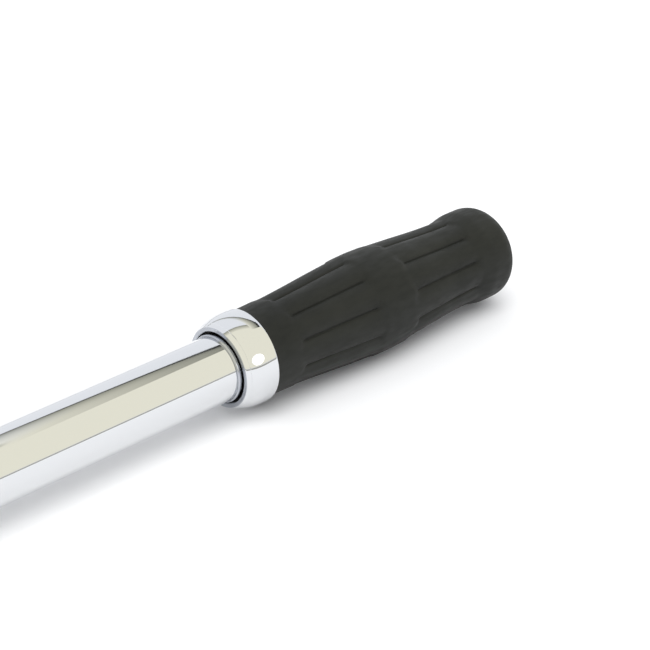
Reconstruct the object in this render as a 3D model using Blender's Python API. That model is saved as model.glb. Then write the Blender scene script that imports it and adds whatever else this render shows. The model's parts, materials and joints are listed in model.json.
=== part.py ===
"""Click-type torque wrench with a 1/2 inch reversible ratchet drive, as separate pieces.

The wrench lies along +X: the drive square is at X = 0 and the grip ends the handle at +X.
The drive square points up, +Z, and the origin is the centre of its end face. Shapes are
drawn in millimetres around the tube's axis, and each body hangs from an empty on its joint.
"""
import math

import bmesh
import bpy
from mathutils import Matrix, Vector

MM = 0.001
GAP = 0.3                      # clearance between neighbouring pieces

# Drive square and ratchet head
SQUARE = 12.7
SQUARE_LENGTH = 16.0
HEAD_HALF = 12.5               # half the head's thickness
HEAD_RADIUS = 21.0
TAIL_X = 20.0                  # centre of the head's narrow end
TAIL_RADIUS = 11.5
COVER_THICK = 1.7
COVER_MARGIN = 3.5
NECK_HALF_WIDTH = 9.0
NECK_HALF_HEIGHT = 8.5
NECK_FLARE = 1.5               # extra half width where the neck meets the head
AXIS_Z = -SQUARE_LENGTH - HEAD_HALF    # height of the tube's axis

GEAR_TEETH = 36
GEAR_TIP = 13.0
GEAR_ROOT = 12.0
GEAR_LOW = -7.5
GEAR_HIGH = 5.5
GEAR_FRONT_BOSS = 9.2
GEAR_REAR_BOSS = 6.0
BUSH_WALL = 1.2
CAVITY_HIGH = 6.0              # inner face of the head's front wall

PAWL_X = 19.0                  # shared axis of the pawl and its lever
PAWL_ROCK = math.radians(6.0)  # pawl's lean to either side of the middle
PAWL_SPREAD = math.radians(34.0)
PAWL_BACK = 16.5
PAWL_EYE = 3.4
POCKET_X = 13.5
POCKET_RADIUS = 11.5
SHAFT_RADIUS = 1.5

LEVER_TURN = math.radians(30.0)  # lever's lean to either side of the middle
LEVER_DISC = 7.5
LEVER_BOSS = 4.5
LEVER_REACH = 13.0
LEVER_TAB = 4.0

SCREW_RADIUS = 1.7              # cover screw's head
SCREW_SHANK = 1.1
SCREW_LENGTH = 7.0
SCREW_SPOTS = ((-7.9, 13.7), (-7.9, -13.7), (26.6, 0.0))

BALL_RADIUS = 2.0
BALL_PROUD = 0.7
BALL_Z = 8.0                   # below the square's end face

# Tube and pivot
TUBE_RADIUS = 12.0
TUBE_BORE = 10.0
TUBE_START = 46.3
TUBE_END = 382.0
NECK_END = 45.3
PIVOT_X = 60.0
PIVOT_RADIUS = 3.0
SHANK_HALF_WIDTH = 6.2
SHANK_HALF_HEIGHT = 6.5
SHANK_END = 112.0
SHANK_END_HALF_WIDTH = 4.0
SHANK_TAPER_X = 68.0           # where the shank starts to narrow
WASHER_THICK = 0.6

# Click mechanism
TILT_X = 120.0                 # centre of the tilt block's round end
TILT_HALF_WIDTH = 3.0
TILT_HALF_HEIGHT = 4.0
TILT_EDGE = 0.7                # bevel on the tilt block's front corners
PLUNGER_RADIUS = 9.2
PLUNGER_START = 120.5
PLUNGER_END = 139.0
PLUNGER_GROOVE = (128.0, 132.0)
PLUNGER_GROOVE_RADIUS = 8.3
SPRING_START = 141.6
SPRING_END = 262.2
SPRING_WIRE = 1.6
SPRING_MEAN = 7.5
SPRING_TURNS = 13
SEAT_START = 262.8
SEAT_END = 273.0
THRUST_X = 274.6
THRUST_BALL = 3.0

# Adjuster
NUT_START = 330.0
NUT_END = 350.0
FEED_RADIUS = 5.0              # adjusting screw
FEED_START = 275.8
FEED_END = 424.5
PLUG_START = 408.0
PLUG_END = 416.0
PIN_RADIUS = 1.5

# Handle
SLEEVE_BORE = 12.35
SLEEVE_RADIUS = 13.7
SLEEVE_START = 295.9
SLEEVE_END = 426.0
COLLET_START = 290.9
COLLET_END = 295.6
RING_X = 296.4                 # stop ring
RING_WIDTH = 1.0
COLLAR_FRONT = 292.4
COLLAR_REAR = 305.2
COLLAR_NOSE = 14.8             # radius at the sharp front edge
COLLAR_RIM = 17.5
COLLAR_MOUTH = 13.05
COLLAR_RECESS = 15.7
COLLAR_WEB = (300.9, 303.7)    # the inner wall that slides on the sleeve
COLLET_NOSE = 12.75
COLLET_REAR = 13.4
COLLET_SLIT = 3.6
STOP_RING_RADIUS = 15.3
GRIP_START = 304.3
GRIP_END = 431.6
GRIP_BORE = 14.0
GRIP_SWELL_X = 362.5
GRIP_WAIST_X = 408.5
GRIP_FLARE_X = 414.5
GRIP_CAP_X = 422.0             # where the rounded end begins
GRIP_FRONT = 16.5              # radii of the grip's outline, from front to end
GRIP_SWELL = 19.7
GRIP_WAIST = 17.3
GRIP_FLARE = 18.15
GRIP_END_FLAT = 6.5
PAD_COUNT = 10
PAD_PHASE = math.radians(5.0)  # first groove's turn from the top, towards +Y
PAD_GROOVE = 0.9


def material(name, colour, roughness, metallic):
    made = bpy.data.materials.new(name)
    made.use_nodes = True
    shader = made.node_tree.nodes["Principled BSDF"]
    shader.inputs["Base Color"].default_value = (*colour, 1.0)
    shader.inputs["Roughness"].default_value = roughness
    shader.inputs["Metallic"].default_value = metallic
    return made


def empty(name, x, z=0.0, parent=None):
    """An empty on a joint's axis, at x along the tube and z above its axis."""
    made = bpy.data.objects.new(name, None)
    made.empty_display_size = 10 * MM
    bpy.context.collection.objects.link(made)
    place = Vector((x, 0.0, AXIS_Z + z)) * MM
    made.location = place
    made["place"] = place
    if parent:
        made.parent = parent
        made.location = place - Vector(parent["place"])
    return made


def finish(obj, body, look=None):
    """Hang an object, drawn around the tube's axis, from its body's empty."""
    bpy.context.collection.objects.link(obj)
    obj.parent = body
    obj.location = Vector((0.0, 0.0, AXIS_Z)) * MM - Vector(body["place"])
    if look:
        obj.data.materials.append(look)
    return obj


def mesh_object(name, bm, body, look=None):
    bmesh.ops.scale(bm, vec=(MM, MM, MM), verts=bm.verts)
    bmesh.ops.recalc_face_normals(bm, faces=bm.faces)
    mesh = bpy.data.meshes.new(name)
    bm.to_mesh(mesh)
    bm.free()
    mesh.shade_smooth()
    mesh.set_sharp_from_angle(angle=math.radians(35.0))
    return finish(bpy.data.objects.new(name, mesh), body, look)


def turned(name, profile, body, look=None, segments=36):
    """A solid turned around X. The profile of (x, radius) is a loop, or runs axis to axis."""
    bm = bmesh.new()
    points = [bm.verts.new((x, 0.0, radius)) for x, radius in profile]
    hollow = min(radius for _, radius in profile) > 0.0
    ends = points + points[:1] if hollow else points
    edges = [bm.edges.new(pair) for pair in zip(ends, ends[1:])]
    bmesh.ops.spin(bm, geom=points + edges, axis=(1, 0, 0), cent=(0, 0, 0),
                   angle=2 * math.pi, steps=segments, use_merge=True)
    bmesh.ops.remove_doubles(bm, verts=bm.verts, dist=1e-4)
    return mesh_object(name, bm, body, look)


def ring(name, start, end, inner, outer, body, look=None, segments=36):
    profile = [(start, outer), (end, outer), (end, inner), (start, inner)]
    return turned(name, profile, body, look, segments)


def add_prism(bm, outline, low, high):
    """A solid with the given outline of (x, y) points, from z = low to z = high."""
    base = bm.faces.new([bm.verts.new((x, y, low)) for x, y in outline])
    grown = bmesh.ops.extrude_face_region(bm, geom=[base])["geom"]
    top = [item for item in grown if isinstance(item, bmesh.types.BMVert)]
    bmesh.ops.translate(bm, verts=top, vec=(0.0, 0.0, high - low))


def prism(name, outline, low, high, body, look=None):
    bm = bmesh.new()
    add_prism(bm, outline, low, high)
    return mesh_object(name, bm, body, look)


def add_rod(bm, centre, axis, radius, length, segments=20):
    turn = Vector((0, 0, 1)).rotation_difference(Vector(axis)).to_matrix().to_4x4()
    bmesh.ops.create_cone(bm, cap_ends=True, segments=segments, radius1=radius, radius2=radius,
                          depth=length, matrix=Matrix.Translation(centre) @ turn)


def rod(name, centre, axis, radius, length, body, look=None, segments=20):
    bm = bmesh.new()
    add_rod(bm, centre, axis, radius, length, segments)
    return mesh_object(name, bm, body, look)


def ball(name, centre, radius, body, look=None, segments=16):
    bm = bmesh.new()
    bmesh.ops.create_uvsphere(bm, u_segments=segments, v_segments=segments // 2, radius=radius,
                              matrix=Matrix.Translation(centre))
    return mesh_object(name, bm, body, look)


def coil(name, start, end, mean, wire, turns, body, look, axis="X", centre=(0.0, 0.0), steps=10):
    """A compression spring along one axis, with a closed turn at each end."""
    curve = bpy.data.curves.new(name, "CURVE")
    curve.dimensions = "3D"
    curve.bevel_depth = wire * MM
    curve.bevel_resolution = 1
    curve.use_fill_caps = True
    spline = curve.splines.new("POLY")
    count = turns * steps + 1
    spline.points.add(count - 1)
    low = start + wire
    high = end - wire
    dead = 2.1 * wire / (high - low)      # share of the length in each closed end turn
    for index in range(count):
        turn = index / steps
        if turn < 1.0:
            share = dead * turn
        elif turn > turns - 1.0:
            share = 1.0 - dead * (turns - turn)
        else:
            share = dead + (1.0 - 2.0 * dead) * (turn - 1.0) / (turns - 2.0)
        along = low + (high - low) * share
        angle = 2.0 * math.pi * turn
        across = centre[0] + mean * math.cos(angle)
        up = centre[1] + mean * math.sin(angle)
        point = (along, across, up) if axis == "X" else (across, along, up)
        if axis == "Z":
            point = (across, up, along)
        spline.points[index].co = (*[value * MM for value in point], 1.0)
    return finish(bpy.data.objects.new(name, curve), body, look)


def modify(obj, operation, tool):
    """Join a helper solid to an object, or cut it away. The helper stays hidden."""
    tool.hide_render = True
    tool.display_type = "WIRE"
    step = obj.modifiers.new(tool.name, "BOOLEAN")
    step.operation = operation
    step.object = tool
    step.solver = "EXACT"


def cut(obj, tool):
    modify(obj, "DIFFERENCE", tool)


def join(obj, tool):
    modify(obj, "UNION", tool)


def bevel(obj, width, segments=2, angle=40.0):
    step = obj.modifiers.new("edges", "BEVEL")
    step.width = width * MM
    step.segments = segments
    step.limit_method = "ANGLE"
    step.angle_limit = math.radians(angle)


def arc(x, y, radius, start, end, count):
    turns = [start + (end - start) * index / (count - 1) for index in range(count)]
    return [(x + radius * math.cos(turn), y + radius * math.sin(turn)) for turn in turns]


def teardrop(grow):
    """The head's outline in plan: a big circle and a small one with their tangents."""
    big = HEAD_RADIUS + grow
    small = TAIL_RADIUS + grow
    lean = math.acos((big - small) / TAIL_X)
    nose = arc(0.0, 0.0, big, lean, 2.0 * math.pi - lean, 33)
    tail = arc(TAIL_X, 0.0, small, -lean, lean, 15)
    return nose + tail


def gear_outline(grow=0.0):
    """Pointed ratchet teeth with one tooth on +X; grow moves every flank outwards."""
    points = []
    for index in range(GEAR_TEETH):
        for share, radius in ((-0.08, GEAR_TIP), (0.08, GEAR_TIP), (0.42, GEAR_ROOT), (0.58, GEAR_ROOT)):
            turn = 2.0 * math.pi * (index + share) / GEAR_TEETH
            points.append(((radius + grow) * math.cos(turn), (radius + grow) * math.sin(turn)))
    return points


def make_head(body, steel, dark):
    head = prism("ratchet_head", teardrop(0.0), -HEAD_HALF, HEAD_HALF, body, steel)
    flared = NECK_HALF_WIDTH + NECK_FLARE
    neck_outline = [(TAIL_X, -flared), (NECK_END, -NECK_HALF_WIDTH), (NECK_END, NECK_HALF_WIDTH),
                    (TAIL_X, flared)]
    rooted = NECK_END - 5.0
    shank_outline = [(rooted, -SHANK_HALF_WIDTH), (SHANK_TAPER_X, -SHANK_HALF_WIDTH),
                     (SHANK_END, -SHANK_END_HALF_WIDTH), (SHANK_END, SHANK_END_HALF_WIDTH),
                     (SHANK_TAPER_X, SHANK_HALF_WIDTH), (rooted, SHANK_HALF_WIDTH)]
    half_neck = NECK_HALF_HEIGHT
    half_shank = SHANK_HALF_HEIGHT
    join(head, prism("neck_shape", neck_outline, -half_neck, half_neck, body))
    join(head, prism("shank_shape", shank_outline, -half_shank, half_shank, body))
    recess = prism("cover_recess", teardrop(GAP - COVER_MARGIN), -HEAD_HALF - 1.0,
                   COVER_THICK - HEAD_HALF + GAP, body)
    cut(head, recess)
    cavity_middle = (CAVITY_HIGH - HEAD_HALF) / 2.0
    cavity_depth = CAVITY_HIGH + HEAD_HALF
    up = (0, 0, 1)
    cut(head, rod("gear_cavity", (0, 0, cavity_middle), up, GEAR_TIP + 0.6, cavity_depth, body, segments=48))
    cut(head, rod("pawl_pocket", (POCKET_X, 0, cavity_middle), up, POCKET_RADIUS, cavity_depth, body,
                  segments=36))
    bush_radius = GEAR_FRONT_BOSS + GAP + BUSH_WALL + GAP
    cut(head, rod("drive_hole", (0, 0, HEAD_HALF), up, bush_radius, 20.0, body, segments=48))
    cut(head, rod("shaft_hole", (PAWL_X, 0, CAVITY_HIGH), up, SHAFT_RADIUS + GAP, 6.0, body))
    cut(head, rod("pivot_hole", (PIVOT_X, 0, 0), up, PIVOT_RADIUS + GAP, 20.0, body))
    for number, (x, y) in enumerate(SCREW_SPOTS):
        cut(head, rod(f"screw_hole_{number}", (x, y, -HEAD_HALF + 4.0), up, SCREW_SHANK + GAP, 8.0, body,
                      segments=16))

    cover = prism("head_cover", teardrop(-COVER_MARGIN), -HEAD_HALF, COVER_THICK - HEAD_HALF, body, steel)
    cut(cover, rod("boss_window", (0, 0, -HEAD_HALF), up, GEAR_REAR_BOSS + GAP, 8.0, body, segments=32))
    cut(cover, rod("lever_window", (PAWL_X, 0, -HEAD_HALF), up, LEVER_BOSS + GAP, 8.0, body, segments=32))
    for number, (x, y) in enumerate(SCREW_SPOTS):
        cut(cover, rod(f"cover_hole_{number}", (x, y, -HEAD_HALF), up, SCREW_RADIUS + GAP, 8.0, body,
                       segments=16))

    for number, (x, y) in enumerate(SCREW_SPOTS):
        place = Matrix.Translation((x, y, -HEAD_HALF))
        profile = ((0.0, SCREW_RADIUS), (1.2, SCREW_RADIUS), (1.8, SCREW_SHANK),
                   (SCREW_LENGTH, SCREW_SHANK))
        bm = bmesh.new()
        add_turned_stack(bm, profile, place, 16)
        mesh_object(f"cover_screw_{number + 1}", bm, body, dark)

    bush = GEAR_FRONT_BOSS + GAP
    drive_bush = rod("drive_bush", (0, 0, (CAVITY_HIGH + HEAD_HALF) / 2.0), up, bush + BUSH_WALL,
                     HEAD_HALF - CAVITY_HIGH, body, dark, segments=48)
    cut(drive_bush, rod("bush_bore", (0, 0, HEAD_HALF), up, bush, 20.0, body, segments=48))


def add_turned_stack(bm, profile, place, segments):
    """A solid turned around Z from (z, radius) pairs, closed by a flat face at each end."""
    rows = []
    for z, radius in profile:
        turns = [2.0 * math.pi * index / segments for index in range(segments)]
        points = [(radius * math.cos(turn), radius * math.sin(turn), z) for turn in turns]
        rows.append([bm.verts.new(place @ Vector(point)) for point in points])
    for low, high in zip(rows, rows[1:]):
        for index in range(segments):
            after = (index + 1) % segments
            bm.faces.new((low[index], low[after], high[after], high[index]))
    bm.faces.new(rows[0])
    bm.faces.new(rows[-1])


def make_drive(drive, socket, steel, dark):
    up = (0, 0, 1)
    gear = prism("drive_gear", gear_outline(), GEAR_LOW, GEAR_HIGH, drive, steel)
    front = HEAD_HALF + 0.4
    join(gear, rod("front_boss", (0, 0, front / 2.0), up, GEAR_FRONT_BOSS, front, drive, segments=48))
    rear = -HEAD_HALF + GAP
    join(gear, rod("rear_boss", (0, 0, rear / 2.0), up, GEAR_REAR_BOSS, -rear, drive, segments=32))
    half = SQUARE / 2.0
    corner = 1.2
    outline = [(half - corner, -half), (half, corner - half), (half, half - corner), (half - corner, half),
               (corner - half, half), (-half, half - corner), (-half, corner - half), (corner - half, -half)]
    square_top = HEAD_HALF + SQUARE_LENGTH
    bm = bmesh.new()
    add_prism(bm, outline, 4.0, square_top)
    tip = [edge for edge in bm.edges if all(vert.co.z > square_top - 0.1 for vert in edge.verts)]
    bmesh.ops.bevel(bm, geom=tip, offset=0.8, segments=1, affect="EDGES")
    join(gear, mesh_object("square_shape", bm, drive))
    ball_z = square_top - BALL_Z
    cut(gear, rod("ball_hole", (0, half - 3.0, ball_z), (0, 1, 0), BALL_RADIUS + GAP, 8.0, drive))
    ball("socket_ball", (0, half + BALL_PROUD - BALL_RADIUS, ball_z), BALL_RADIUS, socket, dark)
    coil("ball_spring", half - 6.8, half - 3.6, 1.2, 0.25, 3, drive, dark, "Y", (0.0, ball_z), 8)


def make_pawl(body, steel):
    """A rocking pawl whose two arms each carry the teeth that fit the gear.

    It is cut clear of the gear as it stands in the middle and as it leans either way.
    """
    front = arc(0.0, 0.0, GEAR_ROOT - 1.0, PAWL_SPREAD, -PAWL_SPREAD, 9)
    back = arc(0.0, 0.0, PAWL_BACK, -PAWL_SPREAD, -0.2, 4)
    eye = arc(PAWL_X, 0.0, PAWL_EYE, -1.9, 1.9, 11)
    outline = front + back + eye + [(x, -y) for x, y in reversed(back)]
    pawl = prism("pawl", outline, GEAR_LOW + GAP, GEAR_HIGH - GAP, body, steel)
    cut(pawl, rod("pawl_eye", (PAWL_X, 0, 0), (0, 0, 1), SHAFT_RADIUS + GAP, 30.0, body))
    swept = GEAR_TIP + GAP + 0.1
    cut(pawl, rod("gear_sweep", (0, 0, 0), (0, 0, 1), swept, 30.0, body, segments=48))
    for side in (-1, 1):
        turn = Matrix.Rotation(side * PAWL_ROCK, 4, "Z")
        swing = Matrix.Translation((PAWL_X, 0, 0)) @ turn @ Matrix.Translation((-PAWL_X, 0, 0))
        bm = bmesh.new()
        add_prism(bm, gear_outline(GAP), GEAR_LOW - 1.0, GEAR_HIGH + 1.0)
        bmesh.ops.transform(bm, matrix=swing, verts=bm.verts)
        cut(pawl, mesh_object(f"gear_space_{side + 1}", bm, body))


def make_lever(body, steel, dark, floor):
    """The reversing lever: thumb tab and disc outside, boss and shaft inside."""
    disc_top = -HEAD_HALF - GAP
    disc_low = disc_top - 2.6
    outline = arc(PAWL_X, 0.0, LEVER_TAB, math.pi / 2.0, 1.5 * math.pi, 9)
    outline += arc(PAWL_X + LEVER_REACH, 0.0, LEVER_TAB, -math.pi / 2.0, math.pi / 2.0, 9)
    lever = prism("reversing_lever", outline, floor, disc_low + 1.0, body, steel)
    up = (0, 0, 1)
    disc_middle = (disc_top + disc_low) / 2.0
    join(lever, rod("lever_disc", (PAWL_X, 0, disc_middle), up, LEVER_DISC, disc_top - disc_low, body,
                    segments=32))
    boss_top = GEAR_LOW - GAP
    boss_low = disc_low + 0.5
    join(lever, rod("lever_boss", (PAWL_X, 0, (boss_top + boss_low) / 2.0), up, LEVER_BOSS,
                    boss_top - boss_low, body, segments=32))
    shaft_top = CAVITY_HIGH + 2.6
    join(lever, rod("lever_shaft", (PAWL_X, 0, (shaft_top + boss_low) / 2.0), up, SHAFT_RADIUS,
                    shaft_top - boss_low, body))
    groove_low = COVER_THICK - HEAD_HALF + 0.5
    groove_middle = groove_low + 0.5
    groove = rod("clip_groove", (PAWL_X, 0, groove_middle), up, 8.0, 1.2, body, segments=32)
    cut(groove, rod("clip_groove_core", (PAWL_X, 0, groove_middle), up, LEVER_BOSS - 0.7, 4.0, body,
                    segments=32))
    cut(lever, groove)
    plunger_x = PAWL_X + 2.9
    cut(lever, rod("plunger_hole", (plunger_x, 0, boss_top - 1.5), up, 1.2, 5.0, body, segments=16))

    clip = rod("lever_clip", (PAWL_X, 0, groove_middle), up, LEVER_BOSS + 1.2, 0.6, body, dark, 32)
    cut(clip, rod("clip_bore", (PAWL_X, 0, groove_middle), up, LEVER_BOSS - 0.4, 4.0, body, segments=32))
    rod("pawl_plunger", (plunger_x, 0, boss_top - 0.8), up, 0.9, 1.8, body, dark, 12)
    coil("pawl_spring", boss_top - 3.8, boss_top - 2.0, 0.6, 0.2, 3, body, dark, "Z", (plunger_x, 0.0), 8)


def make_tube(body, chrome, steel, dark):
    edge = 0.6
    profile = [(TUBE_START, TUBE_RADIUS - edge), (TUBE_START + edge, TUBE_RADIUS),
               (TUBE_END - edge, TUBE_RADIUS), (TUBE_END, TUBE_RADIUS - edge),
               (TUBE_END, TUBE_BORE), (TUBE_START, TUBE_BORE)]
    tube = turned("tube", profile, body, chrome, segments=48)
    up = (0, 0, 1)
    cut(tube, rod("tube_pivot_hole", (PIVOT_X, 0, 0), up, PIVOT_RADIUS + GAP, 40.0, body))
    nut_x = (NUT_START + NUT_END) / 2.0
    cut(tube, rod("tube_nut_hole", (nut_x, 0, 0), up, PIN_RADIUS + GAP, 40.0, body, segments=16))

    pin = rod("pivot_pin", (PIVOT_X, 0, 0), up, PIVOT_RADIUS, 2.0 * TUBE_RADIUS - 0.6, body, dark)
    bevel(pin, 0.4, 1)
    for side, label in ((-1, "lower"), (1, "upper")):
        height = side * (SHANK_HALF_HEIGHT + GAP + WASHER_THICK / 2.0)
        washer = rod(f"pivot_washer_{label}", (PIVOT_X, 0, height), up, 5.4, WASHER_THICK, body, dark)
        cut(washer, rod(f"washer_hole_{label}", (PIVOT_X, 0, height), up, PIVOT_RADIUS + GAP, 4.0, body))

    nut = ring("adjuster_nut", NUT_START, NUT_END, FEED_RADIUS + GAP, TUBE_BORE - 0.35, body, steel, 36)
    cut(nut, rod("nut_cross_hole", (nut_x, 0, 0), up, PIN_RADIUS + GAP, 40.0, body, segments=16))
    low = FEED_RADIUS + 1.4
    high = TUBE_RADIUS - 0.3
    for side, label in ((-1, "lower"), (1, "upper")):
        rod(f"nut_pin_{label}", (nut_x, 0, side * (low + high) / 2.0), up, PIN_RADIUS, high - low, body,
            dark, 16)

    coil("main_spring", SPRING_START, SPRING_END, SPRING_MEAN, SPRING_WIRE, SPRING_TURNS, body, dark)


def make_click(tilt, plunger_body, steel, dark, plastic):
    front = SHANK_END + GAP
    outline = arc(TILT_X, 0.0, TILT_HALF_WIDTH, -math.pi / 2.0, math.pi / 2.0, 11)
    narrowed = TILT_HALF_WIDTH - TILT_EDGE
    outline += [(front + 0.5, TILT_HALF_WIDTH), (front, narrowed), (front, -narrowed),
                (front + 0.5, -TILT_HALF_WIDTH)]
    prism("tilt_block", outline, -TILT_HALF_HEIGHT, TILT_HALF_HEIGHT, tilt, steel)

    groove_start, groove_end = PLUNGER_GROOVE
    profile = [(PLUNGER_START, 0.0), (PLUNGER_START, PLUNGER_RADIUS - 1.0),
               (PLUNGER_START + 1.0, PLUNGER_RADIUS), (groove_start, PLUNGER_RADIUS),
               (groove_start, PLUNGER_GROOVE_RADIUS), (groove_end, PLUNGER_GROOVE_RADIUS),
               (groove_end, PLUNGER_RADIUS), (PLUNGER_END, PLUNGER_RADIUS), (PLUNGER_END, 0.0)]
    plunger = turned("plunger", profile, plunger_body, steel, segments=36)
    cut(plunger, rod("tilt_cup", (TILT_X, 0, 0), (0, 0, 1), TILT_HALF_WIDTH + GAP,
                     2.0 * TILT_HALF_HEIGHT + 2.0, plunger_body, segments=32))
    ring("plunger_ring", groove_start + GAP, groove_end - GAP, PLUNGER_GROOVE_RADIUS + GAP,
         TUBE_BORE - 0.35, plunger_body, plastic, 36)
    ring("spring_washer", PLUNGER_END + GAP, SPRING_START - GAP, 4.5, PLUNGER_RADIUS, plunger_body, dark, 36)


def make_adjuster(body, steel, dark):
    profile = [(SEAT_START, 0.0), (SEAT_START, 9.0), (SEAT_START + 3.0, 9.4), (SEAT_END - 4.0, 9.4),
               (SEAT_END, 6.5), (SEAT_END, 0.0)]
    seat = turned("spring_seat", profile, body, steel, segments=36)
    cut(seat, ball("seat_cup", (THRUST_X, 0, 0), THRUST_BALL + GAP, body, segments=20))
    ball("thrust_ball", (THRUST_X, 0, 0), THRUST_BALL, body, dark)


def make_screw(body, steel, dark):
    profile = [(FEED_START, 0.0), (FEED_START, FEED_RADIUS - 1.0), (FEED_START + 1.0, FEED_RADIUS),
               (FEED_END - 0.8, FEED_RADIUS), (FEED_END, FEED_RADIUS - 0.8), (FEED_END, 0.0)]
    screw = turned("adjusting_screw", profile, body, steel, segments=32)
    cut(screw, ball("screw_cup", (THRUST_X, 0, 0), THRUST_BALL + GAP, body, segments=20))
    plug = ring("end_plug", PLUG_START, PLUG_END, FEED_RADIUS + GAP, SLEEVE_BORE - GAP, body, steel, 36)
    pin_x = (PLUG_START + PLUG_END) / 2.0
    across = (0, 1, 0)
    for piece in (screw, plug):
        name = f"{piece.name}_pin_hole"
        cut(piece, rod(name, (pin_x, 0, 0), across, PIN_RADIUS + GAP, 40.0, body, segments=16))
    rod("plug_pin", (pin_x, 0, 0), across, PIN_RADIUS, 2.0 * SLEEVE_RADIUS - 0.4, body, dark, 16)
    washer_start = PLUG_END + GAP
    nut_start = washer_start + 1.5 + GAP
    ring("plug_washer", washer_start, washer_start + 1.5, FEED_RADIUS + GAP, 9.5, body, dark, 32)
    bm = bmesh.new()
    add_rod(bm, (nut_start + 3.0, 0, 0), (1, 0, 0), 9.2, 6.0, 6)
    nut = mesh_object("screw_nut", bm, body, steel)
    bevel(nut, 0.5, 1)
    cut(nut, rod("nut_bore", (nut_start + 3.0, 0, 0), (1, 0, 0), FEED_RADIUS + GAP, 20.0, body))
    return pin_x


def make_sleeve(body, steel, dark, pin_x):
    groove = SLEEVE_RADIUS - 0.6
    profile = [(SLEEVE_START, SLEEVE_RADIUS - 0.3), (RING_X - 0.2, SLEEVE_RADIUS - 0.3),
               (RING_X - 0.2, groove), (RING_X + RING_WIDTH + 0.2, groove),
               (RING_X + RING_WIDTH + 0.2, SLEEVE_RADIUS), (SLEEVE_END - 0.6, SLEEVE_RADIUS),
               (SLEEVE_END, SLEEVE_RADIUS - 0.6), (SLEEVE_END, SLEEVE_BORE), (SLEEVE_START, SLEEVE_BORE)]
    sleeve = turned("handle_sleeve", profile, body, steel)
    cut(sleeve, rod("sleeve_pin_hole", (pin_x, 0, 0), (0, 1, 0), PIN_RADIUS + GAP, 40.0, body, segments=16))
    ring("stop_ring", RING_X, RING_X + RING_WIDTH, groove + GAP, STOP_RING_RADIUS, body, dark)

    inner = SLEEVE_BORE - 0.05
    collet_profile = [(COLLET_START, inner + 0.15), (COLLET_START + 0.4, COLLET_NOSE),
                      (COLLAR_FRONT + 0.4, COLLET_NOSE), (COLLET_END - 0.8, COLLET_REAR),
                      (COLLET_END, COLLET_REAR), (COLLET_END, inner), (COLLET_START, inner)]
    collet = turned("guide_collet", collet_profile, body, steel)
    for number in range(3):
        turn = 2.0 * math.pi * (number + 0.5) / 3.0
        middle = (COLLET_END + 0.5 - COLLET_SLIT / 2.0, COLLET_REAR * math.sin(turn),
                  COLLET_REAR * math.cos(turn))
        bm = bmesh.new()
        frame = Matrix.Translation(middle) @ Matrix.Rotation(-turn, 4, "X")
        bmesh.ops.create_cube(bm, size=1.0, matrix=frame @ Matrix.Diagonal((COLLET_SLIT, 0.8, 4.0, 1.0)))
        cut(collet, mesh_object(f"collet_slit_{number}", bm, body))


def dome(count):
    """The collar's outer face, from its sharp front edge to the rim."""
    points = []
    for index in range(count):
        share = index / (count - 1)
        bulge = 1.0 - (1.0 - share) ** 2.6
        x = COLLAR_FRONT + (COLLAR_REAR - 0.5 - COLLAR_FRONT) * share
        points.append((x, COLLAR_NOSE + (COLLAR_RIM - COLLAR_NOSE) * bulge))
    return points


def make_collar(body, chrome, dark):
    slide = SLEEVE_RADIUS + GAP
    skirt = COLLAR_RIM - 0.5
    web_front, web_rear = COLLAR_WEB
    profile = dome(6) + [(COLLAR_REAR, skirt), (web_rear, skirt), (web_rear, slide),
                         (web_front, slide), (web_front, COLLAR_RECESS),
                         (COLLAR_FRONT + 1.7, COLLAR_RECESS), (COLLAR_FRONT + 1.3, COLLAR_MOUTH + 0.35),
                         (COLLAR_FRONT + 0.2, COLLAR_MOUTH)]
    turned("lock_collar", profile, body, chrome, segments=48)

    bm = bmesh.new()
    segments = 36
    middle = (RING_X + RING_WIDTH + web_front) / 2.0
    rows = []
    for radius, side in ((14.1, -0.2), (15.2, -0.2), (15.2, 0.2), (14.1, 0.2)):
        row = []
        for index in range(segments):
            turn = 2.0 * math.pi * index / segments
            x = middle + side + 1.1 * math.sin(3.0 * turn)
            row.append(bm.verts.new((x, radius * math.sin(turn), radius * math.cos(turn))))
        rows.append(row)
    for near, far in zip(rows, rows[1:] + rows[:1]):
        for index in range(segments):
            after = (index + 1) % segments
            bm.faces.new((near[index], near[after], far[after], far[index]))
    mesh_object("collar_spring", bm, body, dark)


def smooth_step(low, high, value):
    share = min(1.0, max(0.0, (value - low) / (high - low)))
    return share * share * (3.0 - 2.0 * share)


def grip_radius(x):
    """The grip's outline: a swell under the palm, a waist and a flared round end."""
    if x < GRIP_SWELL_X:
        rise = smooth_step(GRIP_START, GRIP_SWELL_X + 3.0, x) ** 1.1
        return GRIP_FRONT + (GRIP_SWELL - GRIP_FRONT) * rise
    if x < GRIP_WAIST_X:
        return GRIP_SWELL + (GRIP_WAIST - GRIP_SWELL) * smooth_step(GRIP_SWELL_X, GRIP_WAIST_X, x)
    if x < GRIP_CAP_X:
        return GRIP_WAIST + (GRIP_FLARE - GRIP_WAIST) * smooth_step(GRIP_WAIST_X, GRIP_FLARE_X, x)
    share = (x - GRIP_CAP_X) / (GRIP_END - GRIP_CAP_X)
    return GRIP_END_FLAT + (GRIP_FLARE - GRIP_END_FLAT) * math.sqrt(max(0.0, 1.0 - share ** 2.4))


def pad_depth(x):
    """How far the finger grooves reach into the grip, in two rows along it."""
    front_row = smooth_step(314.0, 318.0, x) * (1.0 - smooth_step(352.0, 357.0, x))
    rear_row = smooth_step(368.0, 372.0, x) * (1.0 - smooth_step(405.0, 410.0, x))
    return PAD_GROOVE * max(front_row, rear_row)


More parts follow.
